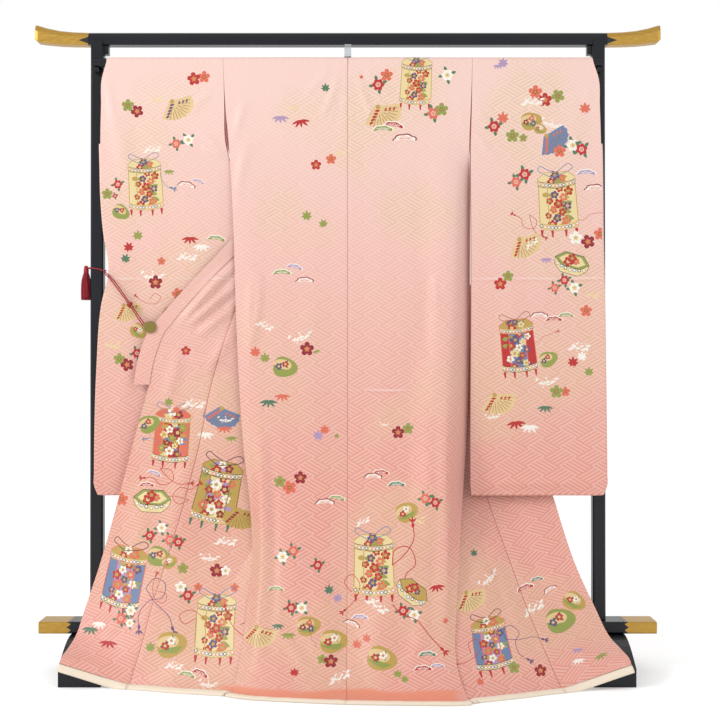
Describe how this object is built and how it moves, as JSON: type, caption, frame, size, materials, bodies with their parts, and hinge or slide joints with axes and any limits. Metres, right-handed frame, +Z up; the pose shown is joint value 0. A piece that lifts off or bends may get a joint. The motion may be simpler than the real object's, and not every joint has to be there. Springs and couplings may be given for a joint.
{
  "type": "furisode kimono on a lacquered kimono stand",
  "caption": "Long-sleeved pink silk kimono with scattered flower and fan motifs, hung back-first over the rod of a black lacquered stand with gold ends.",
  "frame": {"origin": "centre of the footprint's bounding box, on the floor", "axes": "+Z up, -Y towards the side that shows the garment's back, +X along the stand's rails to that viewer's right"},
  "size_m": [1.646, 0.5934, 1.7],
  "materials": {
    "silk": "satin damask, pale pink shading to coral",
    "collar_silk": "satin, folded double",
    "padded_lining": "matte cream silk, padded",
    "black_lacquer": "gloss black lacquer",
    "gold_end": "soft gold, lightly brushed",
    "red_cord": "matte twisted crimson silk",
    "clip_metal": "satin olive gold",
    "clear_plastic": "clear gloss"
  },
  "bodies": {
    "root": {"body_left": "silk", "body_right": "silk", "overlap_left": "silk", "overlap_right": "silk", "sleeve_left": "silk", "sleeve_right": "silk", "collar": "collar_silk", "hem_back_left": "padded_lining", "hem_back_right": "padded_lining", "hem_front_left": "padded_lining", "hem_front_right": "padded_lining", "hem_overlap_left": "padded_lining", "hem_overlap_right": "padded_lining", "top_rail": "black_lacquer", "lower_rail": "black_lacquer", "post_left": "black_lacquer", "post_right": "black_lacquer", "foot_left": "black_lacquer", "foot_right": "black_lacquer", "corner_block_left": "black_lacquer", "corner_block_right": "black_lacquer", "rod": "black_lacquer", "rail_end_left": "gold_end", "rail_end_right": "gold_end", "lower_end_left": "gold_end", "lower_end_right": "gold_end", "cord_front": "red_cord", "cord_back": "red_cord", "cord_slide": "red_cord", "tassel": "red_cord", "front_clip": "clip_metal", "neck_strap": "clear_plastic"}
  },
  "joints": []
}
